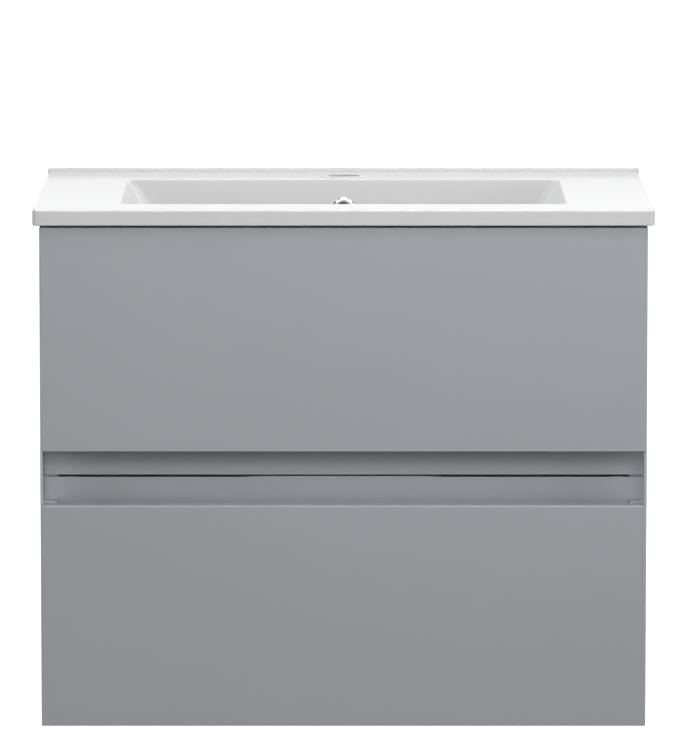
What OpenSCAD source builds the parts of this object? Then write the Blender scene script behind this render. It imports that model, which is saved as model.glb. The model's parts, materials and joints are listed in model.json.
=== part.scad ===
// Wall-hung bathroom vanity cabinet: two handleless drawers under a thin-edged ceramic basin.
// +Z is up, the drawer fronts face -Y and the wall is the plane y = 0.
// The origin is the middle of the four wall-plate screw holes, on the wall.
// Inside the modules heights are counted from the underside of the cabinet; placed() moves them.

/* [Cabinet] */
// Width over the two gables
cabinet_w = 600; // [560:5:800]
// Height of the gables
cabinet_h = 500; // [490:5:540]
// Depth from the wall to the drawer faces
cabinet_d = 383; // [380:1:395]
// Thickness of the gables, rails and floor
board = 16; // [15:1:18]
// Set-back of the rear rails from the wall, room for the hanging plates
rail_inset = 12; // [11:1:16]
// Height of the front rail under the basin
front_rail_h = 64; // [50:1:70]
// Height of the rear hanging rail
rear_rail_h = 80; // [70:1:84]
// Height of the panel behind the lower drawer, up to the way for the pipes
rear_panel_h = 216; // [190:1:225]

/* [Drawer faces] */
// Thickness of the drawer faces
face_t = 16; // [14:1:18]
// Radius of the upright edges of the faces
face_r = 2.5; // [1:0.5:4]
// Gap between the basin and the upper face
top_gap = 2.5; // [1.5:0.5:5]
// Top edge of the lower face
lower_face_h = 221; // [215:1:230]
// Height of the open recess between the two faces
recess_h = 54; // [50:1:60]
// Clear width for fingers behind each face
finger_w = 18; // [16:1:20]
// Depth of the finger channel beyond the edge of each face
finger_depth = 20; // [16:1:24]
// Gap between a face and the front edge of the gables
face_gap = 2; // [2:0.5:3]
// Gap between the recess walls of the two drawers
wall_gap = 2.5; // [2:0.5:4]
// Height of the recess wall that belongs to the lower drawer
lower_wall_h = 24; // [20:1:28]
// Thickness of the caps that close the ends of the recess
cap_t = 2.5; // [2:0.5:3]

/* [Drawer boxes] */
// Thickness of the drawer sides, backs and inner fronts
side_t = 12; // [12:1:13]
// Thickness of the drawer bottoms
bottom_t = 8; // [6:1:8]
// Depth of the grooves that hold the bottoms
groove_t = 6; // [4:1:6]
// Height of the upper drawer box
upper_box_h = 114; // [110:1:118]
// Height of the lower drawer box
lower_box_h = 160; // [140:1:170]
// Clear width of the cut-out for the waste trap
trap_w = 190; // [160:2:220]
// Depth of the cut-out for the waste trap
trap_l = 213; // [190:1:225]
// Wall of the moulded surround in the cut-out
surround_t = 4; // [3:0.5:6]

/* [Runners] */
// Length of a runner
runner_l = 300; // [290:1:300]
// Thickness of a runner, the gap beside a drawer box
runner_t = 12.7; // [12.7:0.1:13.2]
// Height of a runner
runner_h = 45; // [45:0.5:46]
// Sheet thickness of the runner members
sheet = 1.2; // [1:0.1:1.2]

/* [Basin] */
// Width of the basin
basin_w = 613; // [606:1:620]
// Depth of the basin
basin_d = 390; // [388:1:400]
// Thickness of the visible edge
basin_t = 16; // [14:1:20]
// Radius of the corners seen from above
basin_r = 6; // [3:1:12]
// Height of the lip along the wall
lip_h = 5; // [3:0.5:10]
// Thickness of the lip along the wall
lip_t = 9; // [6:1:12]
// Width of the bowl at the top
bowl_w = 444; // [400:2:460]
// Front rim, from the front edge to the bowl
rim = 57; // [50:1:60]
// Length of the bowl at the top, front to back
bowl_l = 253; // [240:1:256]
// Depth of the bowl
bowl_depth = 105; // [95:1:105]
// Wall thickness of the bowl
bowl_t = 10; // [8:0.5:10]
// Diameter of the tap hole
tap_hole_d = 35; // [32:0.5:36]
// Diameter of the waste hole
waste_hole_d = 45; // [43:0.5:46]
// Outer diameter of the overflow ring
overflow_d = 24; // [22:0.5:28]

/* [Wall hanging] */
// Distance between the middles of the two wall plates
plate_pitch = 500; // [440:2:500]
// Width of a wall plate
plate_w = 60; // [50:1:60]
// Distance between the two screw holes of a plate
plate_hole_pitch = 22; // [18:1:24]
// Diameter of the wall-plate screw holes
plate_hole_d = 6.5; // [5:0.5:7]

/* [Hidden] */
$fn = 32;

grey = [0.55, 0.56, 0.58];
box_grey = [0.72, 0.73, 0.74];
steel = [0.74, 0.75, 0.76];
white = [0.96, 0.96, 0.95];

// Cabinet planes, left to right and front to back.
half_w = cabinet_w / 2;
inner_x = half_w - board;
front_y = -cabinet_d;
face_back_y = front_y + face_t;
gable_front_y = face_back_y + face_gap;
wall_front_y = face_back_y + finger_w;
wall_back_y = wall_front_y + side_t;
ear_t = 3;
ear_clear = 1;
ear_slit = 0.3;
cap_back_y = gable_front_y + 4;
cap_foot_t = 1.5;
cap_peg_r = 2.5;
cap_peg_l = 8;
notch_y = wall_front_y + ear_t + ear_clear;
rail_front_y = -rail_inset - board;
upper_face_z = lower_face_h + recess_h;
upper_face_top = cabinet_h - top_gap;
wall_split_z = lower_face_h + lower_wall_h;

// Drawer boxes.
box_x = inner_x - runner_t;
box_inner_x = box_x - side_t;
box_back_y = -49;
upper_box_z = 262;
lower_box_z = 26;
bottom_rise = 10;
trap_front_y = box_back_y - trap_l;
batten_h = 12;
batten_clear = 2;
wing_clear = 0.4;
clear = 0.3;

// Runners: cabinet member, middle member and drawer member nest in each other.
runner_front_y = wall_back_y - 8;
upper_runner_z = upper_box_z + 56;
lower_runner_z = lower_box_z + 60;
runner_zs = [lower_runner_z, upper_runner_z];
middle_front_y = runner_front_y + 2;
middle_l = runner_l - 4;
drawer_member_l = runner_l - 10;
middle_h = 36;
middle_x0 = 2.5;
middle_x1 = 10.5;
drawer_h = 27.2;
drawer_x0 = 5.5;
ball_r = 1.5;
member_screw_steps = [24, 132, 250];

// Basin.
deck_z = cabinet_h + basin_t;
basin_front_y = -basin_d;
bowl_front_y = basin_front_y + rim;
bowl_back_y = bowl_front_y + bowl_l;
bowl_corner_r = 8;
bowl_floor_r = 16;
bowl_floor_z = deck_z - bowl_depth;
bowl_side_run = 72;
bowl_front_run = 37;
bowl_back_run = 20;
waste_y = (bowl_front_y + bowl_back_y) / 2;
waste_boss_r = 32;
waste_boss_z = bowl_floor_z - 22;
tap_y = -40;
tap_land_r = 26.5;
tap_land_h = 0.8;
overflow_drop = 30;
overflow_z = deck_z - overflow_drop;
overflow_hole_r = 9.5;
back_drop = bowl_depth - bowl_floor_r;
back_tilt = atan(bowl_back_run / back_drop) - asin(bowl_floor_r / norm([bowl_back_run, back_drop]));
overflow_y = bowl_back_y - overflow_drop * tan(back_tilt);
duct_y = -63;
duct_wall = 5;

// Hanging gear: hook plates on the cabinet drop behind the tongues of the wall plates.
plate_t = 2;
plate_z = cabinet_h - 72;
plate_h = 42;
plate_reach = 8;
tongue_h = 14;
tongue_top = plate_z + plate_h + tongue_h;
hang_z = plate_z + plate_h / 2;
hook_t = 3;
hook_x = inner_x - 14;
hook_h = 12;
housing_w = 18;
housing_l = 46;
housing_z = tongue_top - 36;
housing_h = 50;
adjuster_r = 3.5;
adjuster_zs = [housing_z + 10, housing_z + 24];

// Fixings: [y, height, opening side of the cam], and [y, height] of the dowels.
floor_mid = board / 2;
front_rail_y = gable_front_y + board / 2;
front_rail_z = cabinet_h - front_rail_h;
rear_rail_y = -rail_inset - board / 2;
rear_top_z = cabinet_h - rear_rail_h;
rear_panel_top = board + rear_panel_h;
cam_joints = [
    [-320, floor_mid, "up"],
    [-60, floor_mid, "up"],
    [front_rail_y, front_rail_z + front_rail_h / 2, "back"],
    [rear_rail_y, rear_top_z + 36, "front"],
    [rear_rail_y, board + 40, "front"],
    [rear_rail_y, rear_panel_top - 40, "front"],
];
dowel_joints = [
    [-280, floor_mid],
    [-100, floor_mid],
    [front_rail_y, front_rail_z + 12],
    [front_rail_y, cabinet_h - 12],
    [rear_rail_y, rear_top_z + 12],
    [rear_rail_y, board + 16],
    [rear_rail_y, rear_panel_top - 16],
];
cam_r = 7.5;
cam_t = 12.5;
cam_setback = 34;
cam_bolt_r = 3.5;
cam_thread_r = 2.5;
cam_bite = 10;
dowel_r = 4;
dowel_bite = 11;
dowel_l = 30;
bumper_r = 4;
bumper_zs = [30, 200, 300, 420];
box_screw_r = 2.5;
box_screw_l = 40;
box_head_r = 3.5;
face_screw_r = 2;
face_screw_l = 40;
face_head_r = 4;
face_screw_xs = [75, 220];
upper_batten_zs = [upper_face_z + finger_depth, upper_box_z + upper_box_h - batten_h - 2];
lower_batten_zs = [lower_face_h - finger_depth - batten_h, lower_box_z + 20];

module placed() {
    translate([0, 0, -hang_z]) children();
}

module box(lo, hi) {
    translate(lo) cube(hi - lo);
}

module mirrored() {
    mirror([1, 0, 0]) children();
}

module both_sides() {
    children();
    mirrored() children();
}

module rod_x(p, r, l) {
    translate(p) rotate([0, 90, 0]) cylinder(r = r, h = l);
}

module rod_y(p, r, l) {
    translate(p) rotate([-90, 0, 0]) cylinder(r = r, h = l);
}

// Rectangle from lo to hi with its corners rounded.
module round_rect(lo, hi, r) {
    translate([lo.x + r, lo.y]) square([hi.x - lo.x - 2 * r, hi.y - lo.y]);
    translate([lo.x, lo.y + r]) square([hi.x - lo.x, hi.y - lo.y - 2 * r]);
    for (x = [lo.x + r, hi.x - r], y = [lo.y + r, hi.y - r]) translate([x, y]) circle(r);
}

// ---------- fixings, all on the right-hand side ----------

// Bolt of a cam joint; it ends the given distance from the middle of its cam.
module cam_bolt(j, stop) {
    rod_x([inner_x, j[0], j[1]], cam_thread_r, cam_bite);
    rod_x([inner_x - cam_setback + stop, j[0], j[1]], cam_bolt_r, cam_setback - stop);
}

module cam_turn(j) {
    turn = j[2] == "up" ? [0, 0, 0] : j[2] == "back" ? [-90, 0, 0] : [90, 0, 0];
    translate([inner_x - cam_setback, j[0], j[1]]) rotate(turn) children();
}

module cam_nut(j) {
    cam_turn(j) difference() {
        translate([0, 0, board / 2 - cam_t]) cylinder(r = cam_r, h = cam_t);
        for (a = [45, 135]) rotate(a) translate([-5, -0.8, board / 2 - 2]) cube([10, 1.6, 3]);
    }
}

module cam_drilling() {
    for (j = cam_joints) {
        cam_bolt(j, cam_r / 2);
        cam_turn(j) translate([0, 0, board / 2 - cam_t]) cylinder(r = cam_r, h = cam_t + 1);
    }
}

module dowel(j) {
    rod_x([inner_x + dowel_bite - dowel_l, j[0], j[1]], dowel_r, dowel_l);
}

module carcass_drilling() {
    cam_drilling();
    for (j = dowel_joints) dowel(j);
}

// ---------- carcass ----------

module gable() {
    difference() {
        linear_extrude(cabinet_h) round_rect([inner_x, gable_front_y], [half_w, 0], 1);
        box([inner_x - 1, gable_front_y - 1, lower_face_h], [half_w + 1, notch_y, upper_face_z]);
        carcass_drilling();
        for (z = runner_zs) at_height(z) member_screws(0);
        cap_pegs();
    }
}

module left_gable() {
    color(grey) placed() mirrored() gable();
}

module right_gable() {
    color(grey) placed() gable();
}

module bottom_panel() {
    color(grey) placed() difference() {
        box([-inner_x, gable_front_y, 0], [inner_x, -rail_inset, board]);
        both_sides() carcass_drilling();
    }
}

module top_front_rail() {
    color(box_grey) placed() difference() {
        box([-inner_x, gable_front_y, front_rail_z], [inner_x, gable_front_y + board, cabinet_h]);
        both_sides() carcass_drilling();
    }
}

module rear_hanging_rail() {
    color(box_grey) placed() difference() {
        box([-inner_x, rail_front_y, rear_top_z], [inner_x, -rail_inset, cabinet_h]);
        both_sides() carcass_drilling();
        both_sides() box([inner_x - 22, rail_front_y - 1, tongue_top - 6],
            [inner_x + 1, 0, cabinet_h + 1]);
    }
}

module rear_panel() {
    color(box_grey) placed() difference() {
        box([-inner_x, rail_front_y, board], [inner_x, -rail_inset, rear_panel_top]);
        both_sides() carcass_drilling();
    }
}

module cam_bolts() {
    color(steel) placed() both_sides() for (j = cam_joints) cam_bolt(j, cam_r + 0.5);
}

module cam_nuts() {
    color(steel) placed() both_sides() for (j = cam_joints) cam_nut(j);
}

module dowels() {
    color([0.85, 0.72, 0.5]) placed() both_sides() for (j = dowel_joints) dowel(j);
}

module front_bumpers() {
    color([0.9, 0.9, 0.9]) placed() both_sides() for (z = bumper_zs)
        rod_y([half_w - board / 2, gable_front_y - face_gap + 0.3, z], bumper_r, face_gap - 0.3);
}

module cap_pegs() {
    translate([half_w - board / 2, wall_front_y - 8, lower_face_h - cap_peg_l])
        cylinder(r = cap_peg_r, h = recess_h + 2 * cap_peg_l);
}

// Moulded cap on the end of the recess: a strip in front and two feet pegged into the gable.
module recess_end_caps() {
    color(box_grey) placed() both_sides() {
        box([half_w - cap_t, front_y, lower_face_h + clear],
            [half_w, gable_front_y, upper_face_z - clear]);
        box([half_w - cap_t, gable_front_y, lower_face_h], [half_w, cap_back_y, upper_face_z]);
        for (z = [lower_face_h, upper_face_z - cap_foot_t])
            box([inner_x, face_back_y + clear, z], [half_w, notch_y, z + cap_foot_t]);
        intersection() {
            cap_pegs();
            for (z = [lower_face_h - cap_peg_l, upper_face_z - cap_foot_t])
                box([inner_x, gable_front_y, z], [half_w, wall_front_y, z + cap_peg_l + cap_foot_t]);
        }
    }
}

// ---------- hanging gear ----------

module hook() {
    box([hook_x, -housing_l - 6, tongue_top], [hook_x + hook_t, -1, tongue_top + hook_h]);
    box([hook_x, -5.5, tongue_top - 10], [hook_x + hook_t, -1, tongue_top]);
}

module adjusters() {
    for (z = adjuster_zs) rod_y([inner_x - housing_w / 2, rail_front_y - housing_l - 1.5, z],
        adjuster_r, 12);
}

module hanger_housings() {
    color(white) placed() both_sides() difference() {
        translate([0, 0, housing_z]) linear_extrude(housing_h)
            round_rect([inner_x - housing_w, rail_front_y - housing_l],
                [inner_x, rail_front_y], 2);
        hook();
        adjusters();
    }
}

module hanger_hooks() {
    color(steel) placed() both_sides() hook();
}

module hanger_adjusters() {
    color(steel) placed() both_sides() difference() {
        adjusters();
        for (z = adjuster_zs)
            box([inner_x - housing_w / 2 - 2.5, rail_front_y - housing_l - 2, z - 0.5],
                [inner_x - housing_w / 2 + 2.5, rail_front_y - housing_l - 0.7, z + 0.5]);
    }
}

module wall_plate() {
    x0 = plate_pitch / 2 - plate_w / 2;
    x1 = plate_pitch / 2 + plate_w / 2;
    top = plate_z + plate_h;
    difference() {
        union() {
            box([x0, -plate_t, plate_z], [x1, 0, top]);
            box([x0, -plate_reach, top - plate_t], [x1, 0, top]);
            box([x0, -plate_reach, top - plate_t], [x1, plate_t - plate_reach, top + tongue_h]);
        }
        for (dz = [-0.5, 0.5])
            rod_y([plate_pitch / 2, -plate_t - 1, hang_z + dz * plate_hole_pitch],
                plate_hole_d / 2, plate_t + 2);
    }
}

module wall_plates() {
    color(steel) placed() both_sides() wall_plate();
}

// ---------- basin ----------

// Hollow of the bowl grown outwards by g; the floor corners are round.
module bowl_form(g, top_z) {
    run = [bowl_side_run, bowl_front_run, bowl_back_run];
    x = bowl_w / 2;
    hull() {
        for (sx = [-1, 1], sy = [bowl_front_y - g, bowl_back_y + g])
            translate([sx * (x + g - bowl_corner_r),
                sy + (sy < waste_y ? 1 : -1) * bowl_corner_r, top_z - 0.2])
                cylinder(r = bowl_corner_r, h = 0.2);
        for (sx = [-1, 1], y = [bowl_front_y + run[1], bowl_back_y - run[2]])
            translate([sx * (x - run[0]), y, bowl_floor_z + bowl_floor_r])
                sphere(r = bowl_floor_r + g);
    }
}

module overflow_frame() {
    translate([0, overflow_y, overflow_z]) rotate([90 - back_tilt, 0, 0]) children();
}

module basin() {
    color(white) placed() difference() {
        union() {
            translate([0, 0, cabinet_h]) linear_extrude(basin_t)
                round_rect([-basin_w / 2, basin_front_y], [basin_w / 2, 0], basin_r);
            translate([0, 0, cabinet_h]) linear_extrude(basin_t + lip_h) intersection() {
                round_rect([-basin_w / 2, basin_front_y], [basin_w / 2, 0], basin_r);
                translate([-basin_w / 2, -lip_t]) square([basin_w, lip_t]);
            }
            translate([0, tap_y, cabinet_h]) cylinder(r = tap_land_r, h = basin_t + tap_land_h);
            bowl_form(bowl_t, cabinet_h + 1);
            translate([0, waste_y, waste_boss_z])
                cylinder(r = waste_boss_r, h = bowl_floor_z - waste_boss_z);
            box([-18, waste_y, waste_boss_z], [18, duct_y + duct_wall, bowl_floor_z]);
            box([-18, bowl_back_y - 30, waste_boss_z], [18, duct_y + duct_wall, cabinet_h + 1]);
        }
        bowl_form(0, deck_z + 0.1);
        translate([0, tap_y, cabinet_h - 1]) cylinder(d = tap_hole_d, h = basin_t + 3);
        translate([0, waste_y, waste_boss_z - 1]) cylinder(d = waste_hole_d, h = 40);
        overflow_frame() translate([0, 0, -18]) cylinder(r = overflow_hole_r, h = 28);
        box([-12, duct_y - 9, waste_boss_z + 5], [12, duct_y, overflow_z + 12]);
        box([-12, waste_y, waste_boss_z + 5], [12, duct_y, waste_boss_z + 14]);
    }
}

module overflow_ring() {
    color([0.9, 0.9, 0.92]) placed() overflow_frame() rotate_extrude() {
        polygon([[7.5, -8], [overflow_hole_r - 0.2, -8], [overflow_hole_r - 0.2, 0.05],
            [overflow_d / 2, 0.05], [overflow_d / 2, 0.8], [overflow_d / 2 - 1, 1.9],
            [overflow_d / 2 - 2.2, 2.3], [8.6, 1.9], [7.5, 1]]);
    }
}

// ---------- runners, drawn for the right-hand side with z = 0 at the middle ----------

// Channel whose web lies at x0, counted from the gable, and whose flanges reach x1.
module channel(x0, x1, web_x, h, y0, l) {
    for (s = [-1, 1]) box_from_gable([x0, y0, s > 0 ? h / 2 - sheet : -h / 2],
        [x1, y0 + l, s > 0 ? h / 2 : -h / 2 + sheet]);
    box_from_gable([web_x, y0, -h / 2], [web_x + sheet, y0 + l, h / 2]);
}

module box_from_gable(lo, hi) {
    box([inner_x - hi[0], lo[1], lo[2]], [inner_x - lo[0], hi[1], hi[2]]);
}

module cabinet_member() {
    difference() {
        union() {
            channel(0, 9.5, 0, runner_h, runner_front_y, runner_l);
            for (s = [-1, 1]) box_from_gable(
                [8.3, runner_front_y, s > 0 ? runner_h / 2 - 3.2 : -runner_h / 2],
                [9.5, runner_front_y + runner_l, s > 0 ? runner_h / 2 : -runner_h / 2 + 3.2]);
        }
        member_screws(0);
    }
}

module middle_member() {
    channel(middle_x0, middle_x1, middle_x0, middle_h, middle_front_y, middle_l);
}

module drawer_member() {
    difference() {
        channel(drawer_x0, runner_t, runner_t - sheet, drawer_h, wall_back_y, drawer_member_l);
        member_screws(runner_t - sheet);
    }
}

// Screws through a member's web: heads towards the middle of the runner.
module member_screws(web_x) {
    for (step = member_screw_steps) {
        y = wall_back_y + step;
        if (web_x == 0) {
            rod_x([inner_x - sheet, y, 0], 1.8, 13);
            rod_x([inner_x - sheet - 0.9, y, 0], 3.5, 0.9);
        } else {
            rod_x([inner_x - runner_t - 10, y, 0], 1.8, 10 + sheet);
            rod_x([inner_x - web_x, y, 0], 3.5, 1.2);
        }
    }
}

// Balls in the two upper and two lower races, each row held by a thin strip.
module ball_row(x, z, y0, l) {
    count = 7;
    step = (l - 8) / (count - 1);
    box_from_gable([x - 0.9, y0, z - 0.3], [x + 0.9, y0 + l, z + 0.3]);
    for (i = [0 : count - 1]) translate([inner_x - x, y0 + 4 + i * step, z]) sphere(r = ball_r);
}

module ball_cages() {
    outer_z = (runner_h / 2 - sheet + middle_h / 2) / 2;
    inner_z = (middle_h / 2 - sheet + drawer_h / 2) / 2;
    for (s = [-1, 1]) {
        ball_row(5.5, s * outer_z, middle_front_y + middle_l - 142, 130);
        ball_row(8, s * inner_z, middle_front_y + 12, 120);
    }
}

module at_height(z) {
    translate([0, 0, z]) children();
}

module upper_right_cabinet_member() {
    color(steel) placed() at_height(upper_runner_z) cabinet_member();
}

module upper_left_cabinet_member() {
    color(steel) placed() mirrored() at_height(upper_runner_z) cabinet_member();
}

module lower_right_cabinet_member() {
    color(steel) placed() at_height(lower_runner_z) cabinet_member();
}

module lower_left_cabinet_member() {
    color(steel) placed() mirrored() at_height(lower_runner_z) cabinet_member();
}

module cabinet_member_screws() {
    color(steel) placed() both_sides() for (z = runner_zs) at_height(z) member_screws(0);
}

module upper_right_middle_member() {
    color(steel) placed() at_height(upper_runner_z) middle_member();
}

module upper_left_middle_member() {
    color(steel) placed() mirrored() at_height(upper_runner_z) middle_member();
}

module lower_right_middle_member() {
    color(steel) placed() at_height(lower_runner_z) middle_member();
}

module lower_left_middle_member() {
    color(steel) placed() mirrored() at_height(lower_runner_z) middle_member();
}

module upper_right_ball_cages() {
    color(steel) placed() at_height(upper_runner_z) ball_cages();
}

module upper_left_ball_cages() {
    color(steel) placed() mirrored() at_height(upper_runner_z) ball_cages();
}

module lower_right_ball_cages() {
    color(steel) placed() at_height(lower_runner_z) ball_cages();
}

module lower_left_ball_cages() {
    color(steel) placed() mirrored() at_height(lower_runner_z) ball_cages();
}

module upper_right_drawer_member() {
    color(steel) placed() at_height(upper_runner_z) drawer_member();
}

module upper_left_drawer_member() {
    color(steel) placed() mirrored() at_height(upper_runner_z) drawer_member();
}

module lower_right_drawer_member() {
    color(steel) placed() at_height(lower_runner_z) drawer_member();
}

module lower_left_drawer_member() {
    color(steel) placed() mirrored() at_height(lower_runner_z) drawer_member();
}

// ---------- drawers ----------

// Flat-headed screws at the corners of a box, above the groove and near the top edge.
module box_screws(z0, h) {
    for (z = [z0 + 26, z0 + h - 18]) {
        back_screw(z);
        front_screw(z);
    }
}

// Screw through a side into the end of the back.
module back_screw(z) {
    y = box_back_y - side_t / 2;
    rod_x([box_x - box_screw_l, y, z], box_screw_r, box_screw_l);
    rod_x([box_x - 2, y, z], box_head_r, 2);
}

// Screw from the front of the inner front into the end of a side.
module front_screw(z) {
    rod_y([box_x - side_t / 2, wall_front_y, z], box_screw_r, box_screw_l);
    rod_y([box_x - side_t / 2, wall_front_y, z], box_head_r, 2);
}

// Screws from inside the drawer through inner front and batten into the face.
module face_screws(zs) {
    for (x = face_screw_xs, z = zs) {
        rod_y([x, wall_back_y - face_screw_l, z + batten_h / 2], face_screw_r, face_screw_l);
        rod_y([x, wall_back_y, z + batten_h / 2], face_head_r, 1.8);
    }
}

module face(z0, z1, zs) {
    difference() {
        translate([0, 0, z0]) linear_extrude(z1 - z0) intersection() {
            round_rect([-half_w, front_y], [half_w, face_back_y + face_r], face_r);
            translate([-half_w, front_y]) square([cabinet_w, face_t]);
        }
        both_sides() face_screws(zs);
    }
}

module battens(zs) {
    x = inner_x - batten_clear;
    difference() {
        for (z = zs) box([-x, face_back_y, z], [x, wall_front_y, z + batten_h]);
        both_sides() face_screws(zs);
    }
}

module drawer_side(z0, h, runner_z) {
    difference() {
        box([box_inner_x, wall_back_y, z0], [box_x, box_back_y, z0 + h]);
        box([box_inner_x - 1, wall_back_y - 1, z0 + bottom_rise],
            [box_inner_x + groove_t, box_back_y + 1, z0 + bottom_rise + bottom_t]);
        box_screws(z0, h);
        at_height(runner_z) member_screws(runner_t - sheet);
    }
}

// Inner front: a board between the runners, wings beside it that close the recess and its
// finger channel, and thin ears that run over the notched gables.
module inner_front(z0, h, wings, ears, zs) {
    wing_x = inner_x - wing_clear;
    ear_x = half_w - cap_t - clear;
    difference() {
        union() {
            box([-box_x, wall_front_y, min(z0, wings[0])],
                [box_x, wall_back_y, max(z0 + h, wings[1])]);
            box([-wing_x, wall_front_y, wings[0]], [wing_x, wall_back_y, wings[1]]);
            box([-ear_x, wall_front_y, ears[0]], [ear_x, wall_front_y + ear_t, ears[1]]);
        }
        box([-box_inner_x - groove_t, wall_back_y - groove_t, z0 + bottom_rise],
            [box_inner_x + groove_t, wall_back_y + 1, z0 + bottom_rise + bottom_t]);
        both_sides() face_screws(zs);
        both_sides() box_screws(z0, h);
    }
}

module drawer_bottom(z0) {
    box([-box_inner_x - groove_t, wall_back_y - groove_t, z0 + bottom_rise],
        [box_inner_x + groove_t, box_back_y - side_t + groove_t, z0 + bottom_rise + bottom_t]);
}

module drawer_back(x0, x1, z0, h) {
    difference() {
        box([x0, box_back_y - side_t, z0], [x1, box_back_y, z0 + h]);
        drawer_bottom(z0);
        both_sides() box_screws(z0, h);
    }
}

// Plan of the trap cut-out grown outwards by g, open at the back of the drawer.
module trap_plan(g) {
    r = 22 + g;
    x = trap_w / 2 + g;
    intersection() {
        round_rect([-x, trap_front_y - g], [x, box_back_y + 60], r);
        translate([-x, trap_front_y - g]) square([2 * x, box_back_y - trap_front_y + g]);
    }
}

module upper_face() {
    color(grey) placed() face(upper_face_z, upper_face_top, upper_batten_zs);
}

module upper_inner_front() {
    low = wall_split_z + wall_gap;
    color(grey) placed() inner_front(upper_box_z, upper_box_h,
        [low, upper_runner_z - runner_h / 2 - 3],
        [low, upper_face_z - cap_foot_t - ear_slit], upper_batten_zs);
}

module upper_battens() {
    color(grey) placed() battens(upper_batten_zs);
}

module upper_right_side() {
    color(box_grey) placed() drawer_side(upper_box_z, upper_box_h, upper_runner_z);
}

module upper_left_side() {
    color(box_grey) placed() mirrored() drawer_side(upper_box_z, upper_box_h, upper_runner_z);
}

module upper_right_back() {
    color(box_grey) placed()
        drawer_back(trap_w / 2 + surround_t, box_inner_x, upper_box_z, upper_box_h);
}

module upper_left_back() {
    color(box_grey) placed() mirrored()
        drawer_back(trap_w / 2 + surround_t, box_inner_x, upper_box_z, upper_box_h);
}

module upper_bottom() {
    color(box_grey) placed() difference() {
        drawer_bottom(upper_box_z);
        translate([0, 0, upper_box_z]) linear_extrude(upper_box_h) trap_plan(surround_t);
    }
}

module trap_surround() {
    color([0.8, 0.8, 0.81]) placed() translate([0, 0, upper_box_z + bottom_rise])
        linear_extrude(upper_box_h - bottom_rise) difference() {
            trap_plan(surround_t);
            translate([0, 0.01]) trap_plan(0);
            translate([-trap_w / 2, box_back_y - 1]) square([trap_w, 2]);
        }
}

module upper_face_screws() {
    color(steel) placed() both_sides() face_screws(upper_batten_zs);
}

module upper_box_screws() {
    color(steel) placed() both_sides() box_screws(upper_box_z, upper_box_h);
}

module upper_member_screws() {
    color(steel) placed() both_sides() at_height(upper_runner_z)
        member_screws(runner_t - sheet);
}

module lower_face() {
    color(grey) placed() face(0, lower_face_h, lower_batten_zs);
}

module lower_inner_front() {
    color(grey) placed() inner_front(lower_box_z, lower_box_h,
        [lower_runner_z + runner_h / 2 + 20, wall_split_z],
        [lower_face_h + cap_foot_t + ear_slit, wall_split_z], lower_batten_zs);
}

module lower_battens() {
    color(grey) placed() battens(lower_batten_zs);
}

module lower_right_side() {
    color(box_grey) placed() drawer_side(lower_box_z, lower_box_h, lower_runner_z);
}

module lower_left_side() {
    color(box_grey) placed() mirrored() drawer_side(lower_box_z, lower_box_h, lower_runner_z);
}

module lower_back() {
    color(box_grey) placed() drawer_back(-box_inner_x, box_inner_x, lower_box_z, lower_box_h);
}

module lower_bottom() {
    color(box_grey) placed() drawer_bottom(lower_box_z);
}

module lower_face_screws() {
    color(steel) placed() both_sides() face_screws(lower_batten_zs);
}

module lower_box_screws() {
    color(steel) placed() both_sides() box_screws(lower_box_z, lower_box_h);
}

module lower_member_screws() {
    color(steel) placed() both_sides() at_height(lower_runner_z)
        member_screws(runner_t - sheet);
}

left_gable();
right_gable();
bottom_panel();
top_front_rail();
rear_hanging_rail();
rear_panel();
hanger_housings();
hanger_hooks();
hanger_adjusters();
wall_plates();
cam_bolts();
cam_nuts();
dowels();
front_bumpers();
recess_end_caps();
basin();
overflow_ring();
upper_left_cabinet_member();
upper_right_cabinet_member();
lower_left_cabinet_member();
lower_right_cabinet_member();
cabinet_member_screws();
upper_left_middle_member();
upper_right_middle_member();
lower_left_middle_member();
lower_right_middle_member();
upper_left_ball_cages();
upper_right_ball_cages();
lower_left_ball_cages();
lower_right_ball_cages();
upper_face();
upper_inner_front();
upper_battens();
upper_left_side();
upper_right_side();
upper_left_back();
upper_right_back();
upper_bottom();
trap_surround();
upper_left_drawer_member();
upper_right_drawer_member();
upper_face_screws();
upper_box_screws();
upper_member_screws();
lower_face();
lower_inner_front();
lower_battens();
lower_left_side();
lower_right_side();
lower_back();
lower_bottom();
lower_left_drawer_member();
lower_right_drawer_member();
lower_face_screws();
lower_box_screws();
lower_member_screws();
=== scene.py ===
import json
import math

import bmesh
import bpy
from mathutils import Matrix, Vector


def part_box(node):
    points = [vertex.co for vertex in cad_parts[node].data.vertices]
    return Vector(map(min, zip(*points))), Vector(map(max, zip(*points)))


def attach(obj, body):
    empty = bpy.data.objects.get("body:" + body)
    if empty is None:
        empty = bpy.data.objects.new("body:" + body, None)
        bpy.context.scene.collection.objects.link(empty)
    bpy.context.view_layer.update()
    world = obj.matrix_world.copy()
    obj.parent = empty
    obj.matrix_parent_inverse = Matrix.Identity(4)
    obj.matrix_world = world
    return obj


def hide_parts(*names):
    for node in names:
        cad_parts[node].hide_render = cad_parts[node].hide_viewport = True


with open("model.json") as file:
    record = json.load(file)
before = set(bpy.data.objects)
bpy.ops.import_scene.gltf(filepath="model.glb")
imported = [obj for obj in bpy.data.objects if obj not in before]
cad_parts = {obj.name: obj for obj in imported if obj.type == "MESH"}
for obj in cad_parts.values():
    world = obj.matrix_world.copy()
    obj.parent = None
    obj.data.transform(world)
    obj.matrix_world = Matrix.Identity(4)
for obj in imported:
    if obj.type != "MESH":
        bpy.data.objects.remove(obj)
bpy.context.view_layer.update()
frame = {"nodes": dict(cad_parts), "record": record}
SCENE = bpy.context.scene
MM = 0.001

# ---------------------------------------------------------------- camera, floor and light

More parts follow.
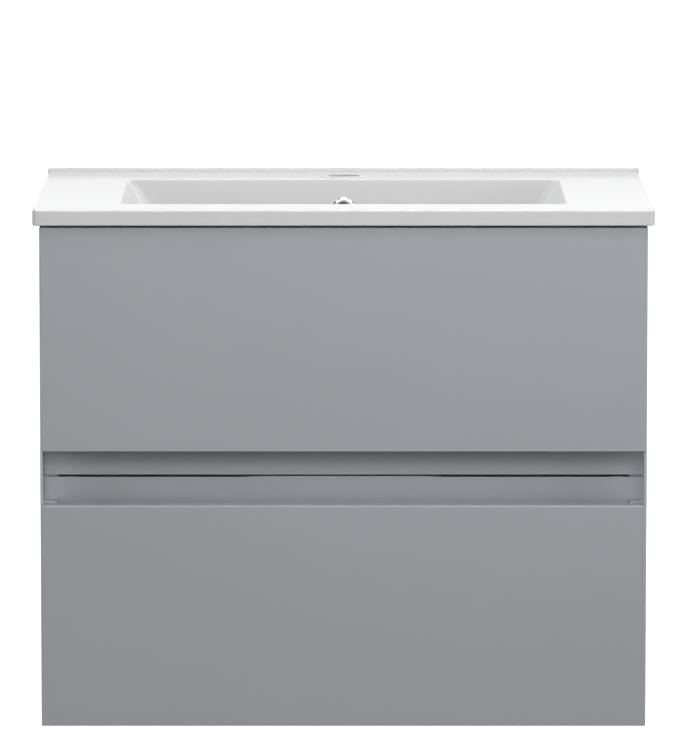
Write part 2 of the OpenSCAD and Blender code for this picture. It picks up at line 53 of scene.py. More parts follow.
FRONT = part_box("upper_face")[0].y
BASIN_LOW, BASIN_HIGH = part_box("basin")
CABINET_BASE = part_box("left_gable")[0].z
CABINET_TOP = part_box("left_gable")[1].z
DECK = CABINET_TOP + 16 * MM
FLOOR_DROP = 0.35

CAMERA_DISTANCE = 6.815
CAMERA_RISE = 0.6855
CAMERA_PITCH = math.radians(7.11)
CAMERA_LENS = 334.4
CAMERA_SHIFT = (0.0020, 0.0006)
LIGHT_CENTRE = Vector((0, -0.38, -0.1))
LIGHT_TARGET = Vector((0, -0.3, -0.1))


def make_camera():
    data = bpy.data.cameras.new("camera")
    data.lens = CAMERA_LENS
    data.sensor_width = 36
    data.shift_x, data.shift_y = CAMERA_SHIFT
    data.clip_end = 100
    camera = bpy.data.objects.new("camera", data)
    camera.location = (0, FRONT - CAMERA_DISTANCE, DECK + CAMERA_RISE)
    camera.rotation_euler = (math.pi / 2 - CAMERA_PITCH, 0, 0)
    SCENE.collection.objects.link(camera)
    SCENE.camera = camera


def around(azimuth, elevation, distance):
    """A place by angles in degrees, counted from the front to the right and upwards."""
    a, e = math.radians(azimuth), math.radians(elevation)
    away = Vector((math.cos(e) * math.sin(a), -math.cos(e) * math.cos(a), math.sin(e)))
    return LIGHT_CENTRE + distance * away


def area_light(name, place, size, watts):
    data = bpy.data.lights.new(name, "AREA")
    data.shape = "RECTANGLE"
    data.size, data.size_y = size
    data.energy = watts
    light = bpy.data.objects.new(name, data)
    light.location = place
    light.rotation_euler = (LIGHT_TARGET - place).to_track_quat("-Z", "Y").to_euler()
    SCENE.collection.objects.link(light)


def make_studio():
    """White studio. Its floor sends no diffuse light back to the object, as in a cut-out picture."""
    SCENE.view_settings.view_transform = "Standard"
    world = bpy.data.worlds.new("studio")
    world.use_nodes = True
    background = world.node_tree.nodes["Background"]
    background.inputs["Color"].default_value = (1, 1, 1, 1)
    background.inputs["Strength"].default_value = 0.01
    SCENE.world = world
    for name, azimuth, elevation, distance, size, watts in (
            ("softbox", 8, 24, 1.5, (1.6, 0.35), 7.4), ("high_softbox", 8, 38, 1.5, (1.6, 0.4), 2.8),
            ("low_softbox", 8, 10, 1.9, (1.6, 0.4), 5.4), ("side_softbox", 40, 12, 3.4, (1.6, 0.6), 2.6),
            ("crown", 8, 62, 1.7, (1.4, 0.4), 5.4), ("overhead", 0, 92, 2.0, (1.2, 0.5), 20.2),
            ("left_rim", -75, 10, 3.4, (1.0, 0.8), 28), ("right_rim", 75, 10, 3.4, (1.0, 0.8), 27),
            ("high_right", 80, 50, 2.4, (0.9, 0.6), 9.7), ("high_left", -80, 50, 2.4, (0.9, 0.6), 4.5)):
        area_light(name, around(azimuth, elevation, distance), size, watts)
    reach = 15
    level = CABINET_BASE - FLOOR_DROP
    floor = stage_plane("floor", [(-reach, -reach, level), (reach, -reach, level),
                                  (reach, reach, level), (-reach, reach, level)])
    floor.visible_diffuse = False
    stage_plane("backdrop", [(-reach, reach, level), (reach, reach, level),
                             (reach, reach, reach), (-reach, reach, reach)])
    make_parting_flag()


def make_parting_flag():
    """Keeps light from the pipe way out of the gap between the drawers. The camera does not see it."""
    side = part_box("right_gable")[0].x
    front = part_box("lower_inner_front")[1].y
    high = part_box("lower_inner_front")[1].z + 1 * MM
    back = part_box("rear_panel")[0].y
    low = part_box("rear_panel")[1].z
    corners = [(-side, front, high), (side, front, high), (side, back, low), (-side, back, low)]
    flag = stage_plane("parting_flag", corners, flag_material())
    flag.visible_camera = False


def stage_plane(name, corners, material=None):
    """A surface of the studio, white unless a material is given."""
    mesh = bpy.data.meshes.new(name)
    mesh.from_pydata(corners, [], [(0, 1, 2, 3)])
    plane = bpy.data.objects.new(name, mesh)
    SCENE.collection.objects.link(plane)
    mesh.materials.append(material or studio_material(name))
    return plane


# ---------------------------------------------------------------- materials

# Where the ceramic gets painted shade: the turn of the surface normal and the depth in the basin.
SHADE_TURN = (-0.05, -0.6)
SHADE_DEPTH = (-220 * MM, -180 * MM)


class Nodes:
    """Short hand for building a material's node tree on object coordinates, in metres."""

    def __init__(self, name, base, roughness, metallic=0.0):
        self.material = bpy.data.materials.new(name)
        self.material.use_nodes = True
        self.tree = self.material.node_tree
        self.shader = self.tree.nodes["Principled BSDF"]
        self.set("Base Color", (*base, 1))
        self.set("Roughness", roughness)
        self.set("Metallic", metallic)
        self.base = base
        self.coords = self.add("ShaderNodeTexCoord").outputs["Object"]

    def add(self, kind, **settings):
        node = self.tree.nodes.new(kind)
        for key, value in settings.items():
            setattr(node, key, value)
        return node

    def set(self, socket, value):
        self.shader.inputs[socket].default_value = value

    def link(self, output, target):
        self.tree.links.new(output, target)

    def stretched(self, scale):
        mapping = self.add("ShaderNodeMapping")
        mapping.inputs["Scale"].default_value = scale
        self.link(self.coords, mapping.inputs["Vector"])
        return mapping.outputs["Vector"]

    def noise(self, scale, detail=3.0, roughness=0.5, vector=None):
        node = self.add("ShaderNodeTexNoise")
        node.inputs["Scale"].default_value = scale
        node.inputs["Detail"].default_value = detail
        node.inputs["Roughness"].default_value = roughness
        self.link(vector or self.coords, node.inputs["Vector"])
        return node.outputs["Fac"]

    def ramp(self, value, stops):
        node = self.add("ShaderNodeValToRGB")
        elements = node.color_ramp.elements
        while len(elements) < len(stops):
            elements.new(0.5)
        for element, (place, colour) in zip(elements, stops):
            element.position = place
            element.color = (*colour, 1)
        self.link(value, node.inputs["Fac"])
        return node.outputs["Color"]

    def range(self, value, low, high):
        """Spreads the middle of a noise over the given values."""
        node = self.add("ShaderNodeMapRange")
        node.inputs["From Min"].default_value = 0.3
        node.inputs["From Max"].default_value = 0.7
        node.inputs["To Min"].default_value = low
        node.inputs["To Max"].default_value = high
        self.link(value, node.inputs["Value"])
        return node.outputs["Result"]

    def mix(self, factor, first, second):
        node = self.add("ShaderNodeMix", data_type="RGBA")
        self.link(factor, node.inputs["Factor"])
        for socket, value in (("A", first), ("B", second)):
            target = [s for s in node.inputs if s.name == socket and s.type == "RGBA"][0]
            if isinstance(value, tuple):
                target.default_value = (*value, 1)
            else:
                self.link(value, target)
        return [s for s in node.outputs if s.type == "RGBA"][0]

    def bump(self, height, distance, strength):
        node = self.add("ShaderNodeBump")
        node.inputs["Distance"].default_value = distance
        node.inputs["Strength"].default_value = strength
        self.link(height, node.inputs["Height"])
        self.link(node.outputs["Normal"], self.shader.inputs["Normal"])

    def part_way(self, value, start, end):
        """Runs from 0 at the start value to 1 at the end value."""
        node = self.add("ShaderNodeMapRange")
        node.inputs["From Min"].default_value = start
        node.inputs["From Max"].default_value = end
        self.link(value, node.inputs["Value"])
        return node.outputs["Result"]

    def axis(self, vector, name):
        """One coordinate of a vector."""
        node = self.add("ShaderNodeSeparateXYZ")
        self.link(vector, node.inputs["Vector"])
        return node.outputs[name]

    def painted_shade_mask(self):
        """Mask of painted shade: one where the rear half of the basin faces the front, as the bowl's rear
        wall does, else zero.
        """
        normal = self.add("ShaderNodeTexCoord").outputs["Normal"]
        both = self.add("ShaderNodeMath", operation="MULTIPLY")
        self.link(self.part_way(self.axis(normal, "Y"), *SHADE_TURN), both.inputs[0])
        self.link(self.part_way(self.axis(self.coords, "Y"), *SHADE_DEPTH), both.inputs[1])
        return both.outputs["Value"]

    def tones(self, value, spread):
        """Links the base colour, lighter and darker by the spread where the value varies."""
        dark = tuple(c * (1 - spread) for c in self.base)
        light = tuple(min(1.0, c * (1 + spread)) for c in self.base)
        self.link(self.ramp(value, [(0.3, dark), (0.7, light)]), self.shader.inputs["Base Color"])


def studio_material(name):
    n = Nodes(name, (0.6, 0.6, 0.6), 0.9)
    n.set("Specular IOR Level", 0)
    n.set("Emission Color", (1, 1, 1, 1))
    n.set("Emission Strength", 1.06)
    n.tones(n.noise(0.8, 2), 0.01)
    return n.material


def flag_material():
    """Black cloth."""
    n = Nodes("black_cloth", (0.02, 0.02, 0.02), 0.9)
    n.set("Specular IOR Level", 0)
    n.tones(n.noise(300.0, 2), 0.2)
    return n.material


def lacquer_material():
    """Satin grey lacquer: sprayed, with a fine orange peel and faint cloudiness."""
    n = Nodes("grey_lacquer", (0.372, 0.384, 0.413), 0.3)
    n.tones(n.noise(5.0, 3), 0.012)
    n.link(n.range(n.noise(7.0, 1), 0.28, 0.32), n.shader.inputs["Roughness"])
    n.bump(n.noise(320.0, 2), 0.00001, 0.5)
    n.set("Coat Weight", 0.3)
    n.set("Coat Roughness", 0.18)
    return n.material


def board_material():
    """Light grey melamine with a pressed fibre texture."""
    n = Nodes("board_grey", (0.50, 0.505, 0.51), 0.5)
    fibre = n.noise(1.0, 4, 0.6, n.stretched((1400, 160, 1400)))
    n.tones(fibre, 0.035)
    n.link(n.range(n.noise(300.0, 2), 0.45, 0.56), n.shader.inputs["Roughness"])
    n.bump(fibre, 0.00004, 0.5)
    return n.material


def ceramic_material():
    """White sanitary ware: a slow swell, faint specks and painted shade, a darker grey, on the rear upright
    faces.
    """
    n = Nodes("ceramic", (0.70, 0.70, 0.705), 0.13)
    specks = n.ramp(n.noise(420.0, 1), [(0.22, (0.64, 0.63, 0.61)), (0.27, n.base)])
    clouds = n.noise(4.0, 2)
    glaze = n.mix(n.range(clouds, 0.0, 0.25), specks, (0.685, 0.69, 0.70))
    # Painted shade: the bowl's rear wall is mixed towards a darker grey, standing in for less light there.
    n.link(n.mix(n.painted_shade_mask(), glaze, (0.57, 0.57, 0.57)), n.shader.inputs["Base Color"])
    n.link(n.range(n.noise(8.0, 1), 0.12, 0.15), n.shader.inputs["Roughness"])
    n.bump(n.noise(28.0, 1), 0.00003, 0.3)
    n.set("Specular IOR Level", 0.06)
    return n.material


def metal_material(name, base, roughness, grain, depth=0.00002):
    n = Nodes(name, base, roughness, 1.0)
    streak = n.noise(1.0, 3, 0.6, n.stretched(grain))
    n.tones(streak, 0.05)
    n.link(n.range(streak, roughness * 0.8, roughness * 1.25), n.shader.inputs["Roughness"])
    n.bump(streak, depth, 0.5)
    return n.material


def zinc_plate_material():
    """Zinc plated steel: cool, with faint patches of passivation colour."""
    n = Nodes("zinc_plate", (0.62, 0.64, 0.67), 0.3, 1.0)
    patches = n.noise(30.0, 3)
    blue, plain, yellow = (0.60, 0.63, 0.68), (0.64, 0.65, 0.66), (0.67, 0.65, 0.60)
    tint = n.ramp(patches, [(0.35, blue), (0.55, plain), (0.7, yellow)])
    n.link(tint, n.shader.inputs["Base Color"])
    streak = n.noise(1.0, 3, 0.6, n.stretched((900, 60, 900)))
    n.link(n.range(streak, 0.24, 0.38), n.shader.inputs["Roughness"])
    n.bump(streak, 0.00002, 0.4)
    return n.material


def plastic_material(name, base, roughness):
    """Moulded plastic with a fine spark-eroded grain."""
    n = Nodes(name, base, roughness)
    grain = n.noise(1600.0, 2)
    n.tones(n.noise(40.0, 2), 0.015)
    n.link(n.range(n.noise(200.0, 2), roughness * 0.9, roughness * 1.1), n.shader.inputs["Roughness"])
    n.bump(grain, 0.00003, 0.5)
    return n.material


def beech_material():
    n = Nodes("beech", (0.62, 0.44, 0.26), 0.6)
    rings = n.noise(1.0, 4, 0.6, n.stretched((60, 900, 900)))
    n.tones(rings, 0.18)
    n.bump(rings, 0.00006, 0.6)
    return n.material


def make_materials():
    return {
        "grey_lacquer": lacquer_material(),
        "board_grey": board_material(),
        "ceramic": ceramic_material(),
        "chrome": metal_material("chrome", (0.86, 0.87, 0.88), 0.05, (80, 80, 80), 0.000005),
        "steel": zinc_plate_material(),
        "cast_zinc": metal_material("cast_zinc", (0.55, 0.55, 0.56), 0.42, (500, 500, 500)),
        "white_plastic": plastic_material("white_plastic", (0.80, 0.80, 0.79), 0.42),
        "grey_plastic": plastic_material("grey_plastic", (0.46, 0.465, 0.475), 0.45),
        # Painted light: the caps take the lacquer's colour about a quarter lighter, standing in for the
        # light that reaches the ends of the recess.
        "cap_plastic": plastic_material("cap_plastic", (0.46, 0.472, 0.498), 0.38),
        "clear_bumper": plastic_material("clear_bumper", (0.74, 0.75, 0.76), 0.3),
        "beech": beech_material(),
    }


# ---------------------------------------------------------------- pieces

FACE_ROUND = 0.6 * MM
GRIP_ROUND = 1.4 * MM
SHARP = math.radians(40)
NEAR = 0.01 * MM

SLOTS = {row["node"]: row["material_slot"] for row in frame["record"]["subparts"]}
BODY_OF = {node: body for body, nodes in frame["record"]["behaviour"]["bodies"].items() for node in nodes}


def clothe(obj, slot):
    obj.data.materials.clear()
    obj.data.materials.append(MATERIALS[slot])


def stand_for(obj, node):
    """Makes a new piece take the place of a CAD node: its body, its slot and its material."""
    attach(obj, BODY_OF[node])
    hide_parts(node)
    clothe(obj, SLOTS[node])


def clean_copy(node):
    """A CAD node's mesh, welded and with its flat faces joined, as a bmesh."""
    bm = bmesh.new()
    bm.from_mesh(frame["nodes"][node].data)
    bmesh.ops.remove_doubles(bm, verts=bm.verts, dist=1e-6)
    bmesh.ops.dissolve_limit(bm, angle_limit=math.radians(0.5), verts=bm.verts, edges=bm.edges)
    return bm


def smooth_faces(bm, angle):
    for face in bm.faces:
        face.smooth = True
    for edge in bm.edges:
        edge.smooth = len(edge.link_faces) == 2 and edge.calc_face_angle() < angle


def new_object(name, bm):
    mesh = bpy.data.meshes.new(name)
    bm.to_mesh(mesh)
    bm.free()
    obj = bpy.data.objects.new(name, mesh)
    SCENE.collection.objects.link(obj)
    return obj


def round_edges(obj, width, segments):
    bevel = obj.modifiers.new("edges", "BEVEL")
    bevel.width = width
    bevel.segments = segments
    bevel.limit_method = "ANGLE"
    bevel.angle_limit = SHARP
    bevel.harden_normals = True
    bevel.use_clamp_overlap = True
    obj.modifiers.new("normals", "WEIGHTED_NORMAL").keep_sharp = True


def make_face(node):
    """A drawer face with rounded edges; the edge gripped in the recess is rounder on the lower one."""
    low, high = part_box(node)
    bm = clean_copy(node)
    smooth_faces(bm, SHARP)
    weight = bm.edges.layers.float.new("bevel_weight_edge")
    for edge in bm.edges:
        a, b = (vert.co for vert in edge.verts)
        level = abs(a.z - b.z) < NEAR and min(abs(a.z - low.z), abs(a.z - high.z)) < NEAR
        back = min(a.y, b.y) > high.y - NEAR
        outside = min(abs(a.x), abs(b.x)) > high.x - NEAR
        if edge.smooth or not (level or (back and outside)):
            continue
        grip = node == "lower_face" and a.z > high.z - NEAR and not back
        edge[weight] = 1.0 if grip else FACE_ROUND / GRIP_ROUND
    obj = new_object(node + "_shape", bm)
    round_edges(obj, GRIP_ROUND, 6)
    obj.modifiers["edges"].limit_method = "WEIGHT"
    stand_for(obj, node)


def refined(node, width, segments):
    """A piece with the CAD node's shape and softly rounded edges."""
    bm = clean_copy(node)
    smooth_faces(bm, SHARP)
    obj = new_object(node + "_shape", bm)
    round_edges(obj, width, segments)
    stand_for(obj, node)


# ---------------------------------------------------------------- basin

BASIN_FRONT = BASIN_LOW.y
BASIN_HALF = BASIN_HIGH.x
LIP_TOP = BASIN_HIGH.z
LIP_FRONT = -9 * MM
PLAN_RADIUS = 6 * MM
BOWL_HALF = 222 * MM
BOWL_FRONT = BASIN_FRONT + 57 * MM
BOWL_BACK = BOWL_FRONT + 253 * MM
BOWL_DEPTH = 105 * MM
BOWL_CORNER = 8 * MM
FLOOR_RADIUS = 16 * MM
SIDE_RUN, FRONT_RUN, BACK_RUN = 72 * MM, 37 * MM, 20 * MM
WALL = 10 * MM
WASTE = Vector((0, (BOWL_FRONT + BOWL_BACK) / 2, DECK - BOWL_DEPTH))
WASTE_RADIUS = 22.5 * MM
BOSS_DROP = 22 * MM
BOSS_RADIUS = 32 * MM
DUCT_HALF = 18 * MM
DUCT_HOLLOW_HALF = 12 * MM
TAP = Vector((0, -40 * MM, DECK))
TAP_RADIUS = 17.5 * MM
LAND_RADIUS = 26.5 * MM
LAND_RISE = 0.8 * MM
OVERFLOW_BELOW = 30 * MM
OVERFLOW_RADIUS = 9.5 * MM
SEAT_RADIUS = 32.5 * MM
SEAT_FALL = 1.5 * MM
RIM_ROUND = 1.2 * MM
DECK_ROUND = 2.2 * MM
CORNER_STEPS = 10
WALL_STEPS = 6
FLOOR_STEPS = 9
FLOOR_TURN = math.radians(86)


def lofted(name, rows):
    """A solid through equal rings of points, capped at both ends."""
    bm = bmesh.new()
    rings = [[bm.verts.new(p) for p in row] for row in rows]
    count = len(rings[0])
    for lower, upper in zip(rings, rings[1:]):
        for i in range(count):
            j = (i + 1) % count
            bm.faces.new((lower[i], lower[j], upper[j], upper[i]))
    bm.faces.new(rings[0][::-1])
    bm.faces.new(rings[-1])
    bmesh.ops.recalc_face_normals(bm, faces=bm.faces)
    return new_object(name, bm)


def prism(name, outline, low, high):
    return lofted(name, [[(x, y, z) for x, y in outline] for z in (low, high)])


def block(name, low, high):
    outline = [(low[0], low[1]), (high[0], low[1]), (high[0], high[1]), (low[0], high[1])]
    return prism(name, outline, low[2], high[2])


def turned(name, profile, centre, tilt=0.0, steps=64):
    """A solid of revolution from (radius, height) points, its axis tilted back from +Z about X."""
    turn = Matrix.Rotation(tilt, 3, "X")
    rows = []
    for radius, height in profile:
        angles = [2 * math.pi * i / steps for i in range(steps)]
        ring = [Vector((radius * math.cos(a), radius * math.sin(a), height)) for a in angles]
        rows.append([Vector(centre) + turn @ p for p in ring])
    return lofted(name, rows)


def rounded_outline(x0, y0, x1, y1, radius):
    points = []
    corners = ((x1, y1, 0), (x0, y1, 1), (x0, y0, 2), (x1, y0, 3))
    for x, y, quarter in corners:
        cx = x - math.copysign(radius, x - (x0 + x1) / 2)
        cy = y - math.copysign(radius, y - (y0 + y1) / 2)
        for i in range(CORNER_STEPS + 1):
            a = math.pi / 2 * (quarter + i / CORNER_STEPS)
            points.append((cx + radius * math.cos(a), cy + radius * math.sin(a)))
    return points


def wall_tilt(run):
    """Lean of a bowl wall that runs in by that much and meets the floor's round edge tangentially."""
    drop = BOWL_DEPTH - FLOOR_RADIUS
    return math.atan2(run, drop) - math.asin(FLOOR_RADIUS / math.hypot(run, drop))


def bowl_rows(grow, start):
    """Rings of the bowl's hollow from above the deck down to the floor's edge, grown outwards."""
    rows = [[] for _ in range(WALL_STEPS + FLOOR_STEPS + 1)]
    for quarter in range(4):
        sx = (1, -1, -1, 1)[quarter]
        sy = (1, 1, -1, -1)[quarter]
        run_y = BACK_RUN if sy > 0 else FRONT_RUN
        centre = Vector((sx * (BOWL_HALF - SIDE_RUN), (BOWL_BACK if sy > 0 else BOWL_FRONT) - sy * run_y,
                         DECK - BOWL_DEPTH + FLOOR_RADIUS))
        for i in range(CORNER_STEPS + 1):
            a = math.pi / 2 * i / CORNER_STEPS
            if quarter % 2:
                a = math.pi / 2 - a
            c, s = math.cos(a), math.sin(a)
            tilt = wall_tilt(SIDE_RUN) * c * c + wall_tilt(run_y) * s * s
            ball = FLOOR_RADIUS + grow
            top = Vector((sx * (SIDE_RUN - BOWL_CORNER + (BOWL_CORNER + grow) * c),
                          sy * (run_y - BOWL_CORNER + (BOWL_CORNER + grow) * s), BOWL_DEPTH - FLOOR_RADIUS))
            foot = Vector((sx * ball * math.cos(tilt) * c, sy * ball * math.cos(tilt) * s,
                           -ball * math.sin(tilt)))
            for k in range(WALL_STEPS + 1):
                t = start + (1 - start) * k / WALL_STEPS
                rows[k].append(centre + top.lerp(foot, t))
            for k in range(1, FLOOR_STEPS + 1):
                phi = tilt + (FLOOR_TURN - tilt) * k / FLOOR_STEPS
                rows[WALL_STEPS + k].append(centre + Vector((sx * ball * math.cos(phi) * c,
                                                             sy * ball * math.cos(phi) * s,
                                                             -ball * math.sin(phi))))
    return rows


def waste_rings(edge):
    """Floor rings from the bowl's floor edge into the seat and down through the waste hole."""
    directions = [math.atan2(p.y - WASTE.y, p.x - WASTE.x) for p in edge]
    seat, fall = SEAT_RADIUS, SEAT_FALL
    profile = [(seat + 2 * MM, -fall), (seat + 0.6 * MM, -fall - 0.6 * MM), (seat, -fall - 2 * MM),
               (seat - 0.8 * MM, -fall - 2.6 * MM), (WASTE_RADIUS + 1.6 * MM, -fall - 2.8 * MM),
               (WASTE_RADIUS + 0.5 * MM, -fall - 3.2 * MM), (WASTE_RADIUS, -fall - 4.3 * MM),
               (WASTE_RADIUS, -BOSS_DROP - 5 * MM)]

    def circle(radius, height):
        return [WASTE + Vector((radius * math.cos(a), radius * math.sin(a), height)) for a in directions]

    outer = circle(*profile[0])
    rows = [[p.lerp(q, t) for p, q in zip(edge, outer)] for t in (0.3, 0.6, 0.85)]
    return rows + [circle(*ring) for ring in profile]


def combine(target, other, operation):
    cut = target.modifiers.new("cut", "BOOLEAN")
    cut.operation = operation
    cut.solver = "EXACT"
    cut.object = other
    bpy.context.view_layer.update()
    graph = bpy.context.evaluated_depsgraph_get()
    mesh = bpy.data.meshes.new_from_object(target.evaluated_get(graph))
    target.modifiers.clear()
    old = target.data
    target.data = mesh
    bpy.data.meshes.remove(old)
    bpy.data.objects.remove(other)


def edge_radius(edge):
    """Rounding of a sharp basin edge, from where it lies."""
    middle = (edge.verts[0].co + edge.verts[1].co) / 2
    at_deck = abs(middle.z - DECK) < 0.1 * MM
    flat = abs(edge.verts[0].co.z - edge.verts[1].co.z) < 0.05 * MM
    if not flat:
        return 0.8 * MM if middle.z > DECK else 0.0
    if middle.z > LIP_TOP - 0.1 * MM:
        return 1.8 * MM
    from_tap = math.hypot(middle.x - TAP.x, middle.y - TAP.y)
    if from_tap < TAP_RADIUS + 1 * MM:
        return 1.6 * MM if middle.z > CABINET_TOP + 5 * MM else 0.6 * MM
    if from_tap < LAND_RADIUS + 1 * MM:
        return 0.35 * MM
    inside = abs(middle.x) < BOWL_HALF + 1 * MM and BOWL_FRONT - 1 * MM < middle.y < BOWL_BACK + 1 * MM
    if at_deck:
        return RIM_ROUND if inside else DECK_ROUND
    return 1.0 * MM if abs(middle.z - CABINET_TOP) < 0.1 * MM and not inside else 0.0


def overflow_mouth():
    """Middle of the overflow on the rear wall of the bowl, and the tilt of its axis from upright."""
    tilt = wall_tilt(BACK_RUN)
    place = Vector((0, BOWL_BACK - OVERFLOW_BELOW * math.tan(tilt), DECK - OVERFLOW_BELOW))
    return place, math.pi / 2 - tilt


def make_basin():
    plan = rounded_outline(-BASIN_HALF, BASIN_FRONT, BASIN_HALF, 0, PLAN_RADIUS)
    back = plan[:2 * (CORNER_STEPS + 1)]
    strip = back + [(-BASIN_HALF, LIP_FRONT), (BASIN_HALF, LIP_FRONT)]
    basin = prism("basin_casting", plan, CABINET_TOP, DECK)
    under = DECK - BOWL_DEPTH - BOSS_DROP
    solids = [
        prism("lip", strip, CABINET_TOP + 2 * MM, LIP_TOP),
        turned("land", [(LAND_RADIUS, -10 * MM), (LAND_RADIUS, LAND_RISE)], TAP),
        lofted("shell", bowl_rows(WALL, 0.12)),
        turned("boss", [(BOSS_RADIUS, -BOSS_DROP), (BOSS_RADIUS, 5 * MM)], WASTE),
        block("duct", (-DUCT_HALF, WASTE.y, under), (DUCT_HALF, -58 * MM, CABINET_TOP + 5 * MM)),
    ]
    for solid in solids:
        combine(basin, solid, "UNION")
    rows = bowl_rows(0, -0.12)
    mouth, lean = overflow_mouth()
    hollows = [
        lofted("hollow", rows + waste_rings(rows[-1])),
        turned("tap_hole", [(TAP_RADIUS, -30 * MM), (TAP_RADIUS, 10 * MM)], TAP),
        turned("overflow", [(OVERFLOW_RADIUS, -18 * MM), (OVERFLOW_RADIUS, 10 * MM)], mouth, lean),
        block("duct_hollow", (-DUCT_HOLLOW_HALF, -72 * MM, under + 5 * MM),
              (DUCT_HOLLOW_HALF, -63 * MM, mouth.z + 12 * MM)),
    ]
    for hollow in hollows:
        combine(basin, hollow, "DIFFERENCE")
    bm = bmesh.new()
    bm.from_mesh(basin.data)
    bmesh.ops.remove_doubles(bm, verts=bm.verts, dist=1e-6)
    bmesh.ops.dissolve_limit(bm, angle_limit=math.radians(0.1), verts=bm.verts, edges=bm.edges)
    weight = bm.edges.layers.float.new("bevel_weight_edge")
    smooth_faces(bm, math.radians(35))
    for edge in bm.edges:
        if not edge.smooth:
            edge[weight] = edge_radius(edge) / DECK_ROUND
            edge.smooth = edge[weight] > 0
    bm.to_mesh(basin.data)
    bm.free()
    bevel = basin.modifiers.new("edges", "BEVEL")
    bevel.width = DECK_ROUND
    bevel.segments = 5
    bevel.limit_method = "WEIGHT"
    bevel.harden_normals = True
    bevel.use_clamp_overlap = False
    basin.modifiers.new("normals", "WEIGHTED_NORMAL").keep_sharp = True
    stand_for(basin, "basin")


def make_overflow_ring():
    mouth, lean = overflow_mouth()
    outside, inside, collar = 12 * MM, 7.5 * MM, OVERFLOW_RADIUS - 0.2 * MM
    flange = [(inside + 2.3 * MM * t, 1.0 * MM + 1.25 * MM * math.sin(math.pi / 2 * t))
              for t in (0, 0.3, 0.6, 1)]
    brow = [(outside - 2.2 * MM * (1 - math.sin(math.pi / 2 * t)), 2.25 * MM * math.cos(math.pi / 2 * t))
            for t in (0.0, 0.2, 0.4, 0.6, 0.8, 0.97)]
    profile = [(inside, -8 * MM), *flange, *brow, (outside, 0.02 * MM), (collar, 0.02 * MM),
               (collar, -8 * MM)]
    ring = turned("overflow_ring_shape", profile, mouth, lean, 96)
    bm = bmesh.new()
    bm.from_mesh(ring.data)
    caps = [f for f in bm.faces if len(f.verts) > 4]
    edges = [edge for cap in caps for edge in cap.edges]
    bmesh.ops.delete(bm, geom=caps, context="FACES_ONLY")
    bmesh.ops.bridge_loops(bm, edges=edges)
    bmesh.ops.recalc_face_normals(bm, faces=bm.faces)
    smooth_faces(bm, SHARP)
    bm.to_mesh(ring.data)
    bm.free()
    stand_for(ring, "overflow_ring")


# ---------------------------------------------------------------- fasteners


def islands(node):
    """The separate solids of a CAD node, as lists of points, in the mesh's own order."""
    bm = clean_copy(node)
    seen = set()
    groups = []
    for start in bm.verts:
        if start in seen:
            continue
        seen.add(start)
        stack = [start]
        group = []
        while stack:
            vert = stack.pop()
            group.append(vert.co.copy())
            for edge in vert.link_edges:
                other = edge.other_vert(vert)
                if other not in seen:
                    seen.add(other)
                    stack.append(other)
        groups.append(group)
    bm.free()
    return groups


def screw_profile(head, shank, head_height, length, pan):
    """Radii and heights of a screw from its tip up to its head, whose top lies at zero."""
    root = shank * 0.78
    pitch = shank * 0.55
    tip = length - shank * 1.6
    rows = [(0.08 * shank, -length)]
    turns = int((tip - head_height - shank) / pitch)
    for i in range(turns):
        z = -tip + i * pitch
        rows += [(root, z), (shank * 0.98, z + pitch * 0.45), (root, z + pitch * 0.6)]
    rows.append((root, -head_height - shank * 0.6))
    if pan:
        rows += [(root, -head_height), (head * 0.97, -head_height), (head, -head_height * 0.8),
                 (head * 0.94, -head_height * 0.3), (head * 0.75, 0)]
    else:
        rows += [(shank, -head_height), (head * 0.98, -head_height * 0.22), (head, -head_height * 0.08),
                 (head * 0.95, 0)]
    return rows


def cross_recess(reach, depth):
    """A tapering cross as cutter, its open end a little over zero."""
    bm = bmesh.new()
    width = reach * 0.3
    low, high = [], []
    for quarter in range(4):
        turn = Matrix.Rotation(math.pi / 2 * quarter, 3, "Z")
        for x, y in ((width / 2, width / 2), (reach, width / 2), (reach, -width / 2)):
            high.append(bm.verts.new(turn @ Vector((x, y, 0.2 * MM))))
            low.append(bm.verts.new(turn @ Vector((x * 0.55, y * 0.6, -depth))))
    ordered = []
    for quarter in range(4):
        ordered += [3 * quarter + 2, 3 * quarter + 1, 3 * quarter]
    top = [high[i] for i in ordered]
    bottom = [low[i] for i in ordered]
    count = len(top)
    for i in range(count):
        j = (i + 1) % count
        bm.faces.new((bottom[i], bottom[j], top[j], top[i]))
    bm.faces.new(top)
    bm.faces.new(bottom[::-1])
    bmesh.ops.recalc_face_normals(bm, faces=bm.faces)
    return new_object("recess", bm)


def screw_frame(points):
    """Head point, direction of the head, length and the radii of the head and the shank."""
    low = Vector([min(p[i] for p in points) for i in range(3)])
    high = Vector([max(p[i] for p in points) for i in range(3)])
    middle = (low + high) / 2
    along = 0 if high.x - low.x > high.y - low.y else 1
    across = 1 - along
    ends = []
    for value in (low[along], high[along]):
        near = [p for p in points if abs(p[along] - value) < 0.1 * MM]
        ends.append(max(abs(p[across] - middle[across]) for p in near))
    side = 1 if ends[1] > ends[0] else 0
    head = middle.copy()
    head[along] = (low, high)[side][along]
    direction = Vector((0, 0, 0))
    direction[along] = 1 if side else -1
    return head, direction, high[along] - low[along], ends[side], ends[1 - side]


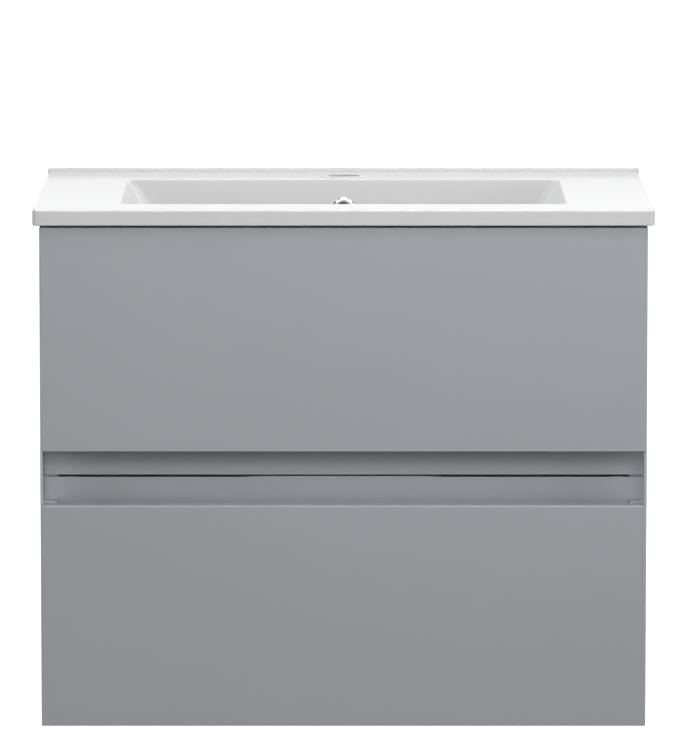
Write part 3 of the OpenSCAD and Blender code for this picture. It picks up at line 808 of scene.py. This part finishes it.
def make_screws(node, head_height, pan=False):
    """Threaded screws with a cross recess in place of the plain ones of a node."""
    bm = bmesh.new()
    frames = [screw_frame(points) for points in islands(node)]
    head, shank, length = frames[0][3], frames[0][4], frames[0][2]
    profile = screw_profile(head, shank, head_height, length, pan)
    model = turned("screw_model", profile, (0, 0, 0), 0.0, 20)
    combine(model, cross_recess(head * 0.6, min(head_height * 1.1, 1.4 * MM)), "DIFFERENCE")
    for place, direction, *_ in frames:
        turn = direction.to_track_quat("Z", "Y").to_matrix().to_4x4()
        piece = bmesh.new()
        piece.from_mesh(model.data)
        bmesh.ops.transform(piece, matrix=Matrix.Translation(place) @ turn, verts=piece.verts)
        mesh = bpy.data.meshes.new("one_screw")
        piece.to_mesh(mesh)
        piece.free()
        bm.from_mesh(mesh)
        bpy.data.meshes.remove(mesh)
    bpy.data.objects.remove(model)
    smooth_faces(bm, math.radians(32))
    stand_for(new_object(node + "_shape", bm), node)


LACQUERED = ("upper_face", "lower_face")
WALLS = ("upper_inner_front", "lower_inner_front", "left_gable", "right_gable")
BOARDS = [n for n, s in SLOTS.items() if s in ("board_grey", "grey_lacquer") and n not in LACQUERED + WALLS]
PRESSINGS = [n for n in SLOTS if n.endswith("_member") or n in ("wall_plates", "hanger_hooks")]
MOULDINGS = ("trap_surround", "hanger_housings")
CAPS = "recess_end_caps"

MATERIALS = make_materials()
make_camera()
make_studio()
for node in LACQUERED:
    make_face(node)
for node in WALLS:
    refined(node, 0.12 * MM, 2)
refined(CAPS, 0.15 * MM, 2)
for node in BOARDS:
    refined(node, 0.5 * MM, 2)
for node in PRESSINGS:
    refined(node, 0.3 * MM, 2)
for node in MOULDINGS:
    refined(node, 0.8 * MM, 3)
make_basin()
make_overflow_ring()
for level in ("upper", "lower"):
    make_screws(level + "_face_screws", 1.8 * MM)
    make_screws(level + "_box_screws", 2.0 * MM)
    make_screws(level + "_member_screws", 1.2 * MM, True)
make_screws("cabinet_member_screws", 0.9 * MM, True)
for node, obj in frame["nodes"].items():
    clothe(obj, SLOTS[node])
